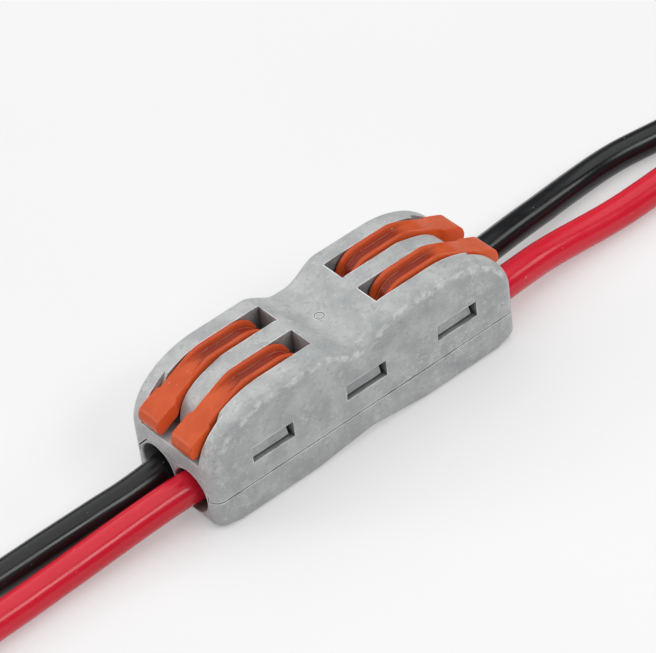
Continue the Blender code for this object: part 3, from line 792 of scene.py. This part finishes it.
def groove_share(x, z):
    """How deep the groove is along the lever's outline, from 0 to 1."""
    if x < PIVOT[0]:
        return smooth_ramp(z, PIVOT[1] + GROOVE_RISE[0], PIVOT[1] + GROOVE_RISE[1])
    if z < UNDERSIDE_Z:
        return 0.0
    return 1.0 - smooth_ramp(x, *GROOVE_FADE)


def groove_wall(x, across):
    """1 on the groove's floor and 0 on the ridges' tops, at a distance from the middle."""
    flare = smooth_ramp(x, *GROOVE_FLARE) * (LEVER_HALF - GROOVE_HALF - RIDGE_SLOPE)
    inner = GROOVE_HALF + flare
    return 1.0 - smooth_ramp(across, inner, inner + RIDGE_SLOPE)


def lever_columns():
    """Places across half the lever, from the middle to its side."""
    half = [0.0, 0.12, 0.24]
    half += [(MOULD_LINE_Y + k * MOULD_LINE_HALF) / MM for k in (-1, 0, 1)]
    half += [GROOVE_HALF / MM + RIDGE_SLOPE / MM * k / 5 for k in range(6)]
    start = (LEVER_HALF - RIDGE_ROUND) / MM
    half += [(GROOVE_HALF + RIDGE_SLOPE) / MM + 0.1]
    half += [start + RIDGE_ROUND / MM * sin(pi / 2 * k / 8) for k in range(9)]
    return sorted(set(round(y, 4) for y in half))


def make_lever(tag, side, pole, material):
    outline = [tuple(point) for point in flow(lever_outline(), 4, closed=True)]
    normals = [(-nx, -nz) for nx, nz in outward(outline, True)]
    half_columns = lever_columns()
    columns = [-y for y in reversed(half_columns) if y > 0] + half_columns
    shape = bmesh.new()
    groove_shade_layer = shape.verts.layers.float.new("groove_shade")
    line_layer = shape.verts.layers.float.new("mould_line")
    grid = []
    for column in columns:
        across = abs(column) * MM
        row = []
        for (x, z), (nx, nz) in zip(outline, normals):
            share = groove_share(x, z)
            bend = EDGE_ROUND + (RIDGE_ROUND - EDGE_ROUND) * share
            over = max(across - (LEVER_HALF - bend), 0.0)
            edge = bend - sqrt(max(bend ** 2 - over ** 2, 0.0))
            depth = share * groove_wall(x, across)
            on_line = max(1.0 - abs(across - MOULD_LINE_Y) / MOULD_LINE_HALF, 0.0)
            line = on_line * MOULD_LINE_HEIGHT * smooth_ramp(depth, 0.3, 0.8)
            inset = edge + depth * GROOVE_DEPTH - line
            wide = HEAD_HALF / LEVER_HALF if x > HEAD_X else 1.0
            vert = shape.verts.new((side * (x - nx * inset), pole + column * MM * wide,
                                    z - nz * inset))
            # Painted shade of the groove, darkest on its floor, carried to the material as an
            # attribute
            fade = 1.0 - smooth_ramp(x, *GROOVE_SHADE_FADE)
            vert[groove_shade_layer] = 0.2 * share + 0.8 * smooth_ramp(depth, 0.5, 1.0) * fade
            vert[line_layer] = on_line * smooth_ramp(depth, 0.4, 0.9) * fade
            row.append(vert)
        grid.append(row)
    count = len(outline)
    for one, two in zip(grid, grid[1:]):
        for k in range(count):
            after = (k + 1) % count
            shape.faces.new((one[k], one[after], two[after], two[k]))
    for row in (grid[0], grid[-1]):
        wide = [k for k in range(count) if outline[k][0] > HEAD_X]
        first, last = wide[0], wide[-1]
        shape.faces.new([row[k] for k in wide])
        shape.faces.new([row[(last + 1 + k) % count] for k in range(count - len(wide))])
        shape.faces.new((row[first - 1], row[first], row[last], row[(last + 1) % count]))
    lever = mesh_object("lever_arm_" + tag, shape, material, 45)
    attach(lever, "lever_" + tag)
    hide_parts("lever_" + tag)
    for flank in (-1, 1):
        low, high = sorted((pole + flank * LEVER_HALF, pole + flank * TRUNNION_REACH))
        ring = circle((side * PIVOT[0], PIVOT[1]), TRUNNION_RADIUS, 40)
        name = "lever_stub_" + tag + ("_out" if flank * pole > 0 else "_in")
        stub = mesh_object(name, prism(ring, low, high, "y"), material)
        soften(stub, 0.12 * MM, 3)
        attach(stub, "lever_" + tag)


# ---------------------------------------------------------------- metal parts

def make_spring(tag, side, pole, material):
    """The cage clamp as one bent strip: leg, bend, arm, and a tongue with the clamp's window."""
    low = HINGE[1] - BEND_RADIUS
    high = HINGE[1] + BEND_RADIUS
    half = STRIP / 2
    path = [(LEG_END_X + (HINGE[0] - LEG_END_X) * k / 6, low) for k in range(6)]
    path += arc(HINGE, BEND_RADIUS, 270, 90, 18)
    corner = (TONGUE_X - CORNER_RADIUS, high - CORNER_RADIUS - half)
    path += [(HINGE[0] + (corner[0] - HINGE[0]) * k / 8, high) for k in range(1, 8)]
    path += arc(corner, CORNER_RADIUS + half, 90, 0, 6)
    rows = [CLAMP_HIGH, 5.4 * MM, 4.6 * MM, 3.8 * MM, 3.0 * MM, CLAMP_LOW, TONGUE_LOW]
    path = [point for point in path if point[1] > CLAMP_HIGH or point[0] < corner[0]]
    path += [(TONGUE_X + half, z) for z in rows]
    shape = bmesh.new()
    grid = []
    for x, z in path:
        grid.append([shape.verts.new((side * x, pole + y, z))
                     for y in (-SPRING_HALF, -CLAMP_HALF, CLAMP_HALF, SPRING_HALF)])
    for one, two in zip(grid, grid[1:]):
        for band in range(3):
            on_tongue = min(one[band].co.z, two[band].co.z) > CLAMP_LOW - 0.01 * MM
            behind = side * one[band].co.x > TONGUE_X and one[band].co.z < CLAMP_HIGH + 0.01 * MM
            if band == 1 and behind and on_tongue:
                continue
            shape.faces.new((one[band], one[band + 1], two[band + 1], two[band]))
    spring = mesh_object("cage_clamp_" + tag, shape, material, 60)
    thick = spring.modifiers.new("thickness", "SOLIDIFY")
    thick.thickness = STRIP
    thick.offset = 0.0
    thick.use_even_offset = True
    soften(spring, 0.05 * MM, 2, 50)
    settle(spring, 60)
    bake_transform(spring)
    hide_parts("spring_seat_" + tag, "clamp_arm_" + tag)


def stranded(name, line, material):
    """Nineteen strands laid in two layers around one, following a line of points."""
    radius = CORE_RADIUS / 5
    shape = bmesh.new()
    travelled = [0.0]
    for one, two in zip(line, line[1:]):
        travelled.append(travelled[-1] + (two - one).length)
    layers = [(1, 0.0, 0.0), (6, 2 * radius, 0.0), (12, 4 * radius, 0.26)]
    for count, reach, turn in layers:
        for strand in range(count):
            rings = []
            for k, point in enumerate(line):
                ahead = (line[min(k + 1, len(line) - 1)] - line[max(k - 1, 0)]).normalized()
                across = ahead.cross(Vector((0, 0, 1))).normalized()
                up = across.cross(ahead)
                angle = turn + 2 * pi * (strand / count + travelled[k] / STRAND_PITCH)
                middle = point + reach * (across * cos(angle) + up * sin(angle))
                turns = (2 * pi * step / STRAND_SIDES for step in range(STRAND_SIDES))
                rings.append([shape.verts.new(middle + radius * (across * cos(a) + up * sin(a)))
                              for a in turns])
            for one, two in zip(rings, rings[1:]):
                for step in range(STRAND_SIDES):
                    after = (step + 1) % STRAND_SIDES
                    shape.faces.new((one[step], one[after], two[after], two[step]))
            shape.faces.new(rings[0])
            shape.faces.new(rings[-1])
    return mesh_object(name, shape, material, 50)


def make_busbars(material):
    for pole in POLES:
        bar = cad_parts["busbar_" + pole]
        bar.material_slots[0].material = material
        soften(bar, 0.06 * MM)


# ---------------------------------------------------------------- wires

def stretch(curve, first, last, count):
    """Evenly spaced points between two distances along a curve."""
    reach = [0.0]
    for one, two in zip(curve, curve[1:]):
        reach.append(reach[-1] + (two - one).length)
    points = []
    index = 0
    for step in range(count):
        target = first + (last - first) * step / (count - 1)
        while index < len(reach) - 2 and reach[index + 1] < target:
            index += 1
        share = (target - reach[index]) / (reach[index + 1] - reach[index])
        points.append(curve[index].lerp(curve[index + 1], share))
    return points


def make_wire(tag, side, pole, slot, materials):
    copper = materials["bare_copper"]
    curve = [point * MM for point in flow(ROUTES[tag], 12)]
    whole = sum((two - one).length for one, two in zip(curve, curve[1:]))
    sleeve = whole - STRIPPED - GAP
    points = stretch(curve, 0.0, sleeve, 120)
    line = bpy.data.curves.new("wire_sleeve_" + tag, "CURVE")
    line.dimensions = "3D"
    line.bevel_depth = SLEEVE_RADII[tag[1]]
    line.bevel_resolution = 7
    line.use_fill_caps = True
    spline = line.splines.new("POLY")
    spline.points.add(len(points) - 1)
    for knot, point in zip(spline.points, points):
        knot.co = (*point, 1.0)
    wire = bpy.data.objects.new("wire_sleeve_" + tag, line)
    bpy.context.scene.collection.objects.link(wire)
    line.materials.append(materials[slot])
    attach(wire, "root")
    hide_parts("wire_" + tag)
    end = stranded("wire_core_" + tag, stretch(curve, sleeve - 1.0 * MM, whole, 24), copper)
    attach(end, "root")
    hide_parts("wire_end_" + tag)
    reach = SLEEVE_START_X - CORE_INNER_X
    inside = [Vector((side * (CORE_INNER_X + reach * k / 24), pole, PORT_Z)) for k in range(25)]
    core = stranded("inner_core_" + tag, inside, copper)
    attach(core, "root")
    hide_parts("conductor_" + tag)


# ---------------------------------------------------------------- stage

def add_camera():
    turns = (CAMERA_AZIMUTH, CAMERA_ELEVATION, CAMERA_ROLL)
    azimuth, elevation, roll = (radians(angle) for angle in turns)
    back = Vector((sin(azimuth) * cos(elevation), -cos(azimuth) * cos(elevation), sin(elevation)))
    right = Vector((0, 0, 1)).cross(back).normalized()
    up = back.cross(right)
    right, up = cos(roll) * right + sin(roll) * up, cos(roll) * up - sin(roll) * right
    lens = bpy.data.cameras.new("camera")
    lens.lens = CAMERA_LENS
    lens.sensor_width = 36.0
    lens.clip_start = 0.01
    camera = bpy.data.objects.new("camera", lens)
    turn = Matrix((right, up, back)).transposed().to_4x4()
    camera.matrix_world = Matrix.Translation(CAMERA_PLACE) @ turn
    bpy.context.scene.collection.objects.link(camera)
    bpy.context.scene.camera = camera


def add_light(name, place, size, power):
    """A soft rectangular light that faces the origin."""
    light = bpy.data.lights.new(name, "AREA")
    light.shape = "RECTANGLE"
    light.size, light.size_y = size
    light.energy = power
    lamp = bpy.data.objects.new(name, light)
    lamp.location = place
    lamp.rotation_euler = (-Vector(place)).to_track_quat("-Z", "Y").to_euler()
    bpy.context.scene.collection.objects.link(lamp)


def add_stage():
    shape = bmesh.new()
    reach = 1.5
    ring = [shape.verts.new((x, y, -0.02 * MM)) for x, y in
            ((-reach, -reach), (reach, -reach), (reach, reach), (-reach, reach))]
    shape.faces.new(ring)
    floor = mesh_object("studio_floor", shape, paper_material())
    world = bpy.data.worlds.new("studio")
    world.use_nodes = True
    sky = world.node_tree.nodes["Background"]
    sky.inputs["Color"].default_value = (1.0, 1.0, 1.0, 1.0)
    sky.inputs["Strength"].default_value = SKY_STRENGTH
    bpy.context.scene.world = world
    for light in LIGHTS:
        add_light(*light)
    bpy.context.scene.view_settings.view_transform = "Standard"


def main():
    materials = make_materials()
    add_camera()
    add_stage()
    for tag, (side, pole) in TAGS.items():
        make_wire(tag, side, pole, "black_pvc" if pole > 0 else "red_pvc", materials)
    make_housing(materials["grey_nylon"])
    make_base(materials["grey_nylon"])
    for tag, (side, pole) in TAGS.items():
        make_lever(tag, side, pole, materials["orange_nylon"])
        make_spring(tag, side, pole, materials["spring_steel"])
    make_busbars(materials["tinned_copper"])


main()
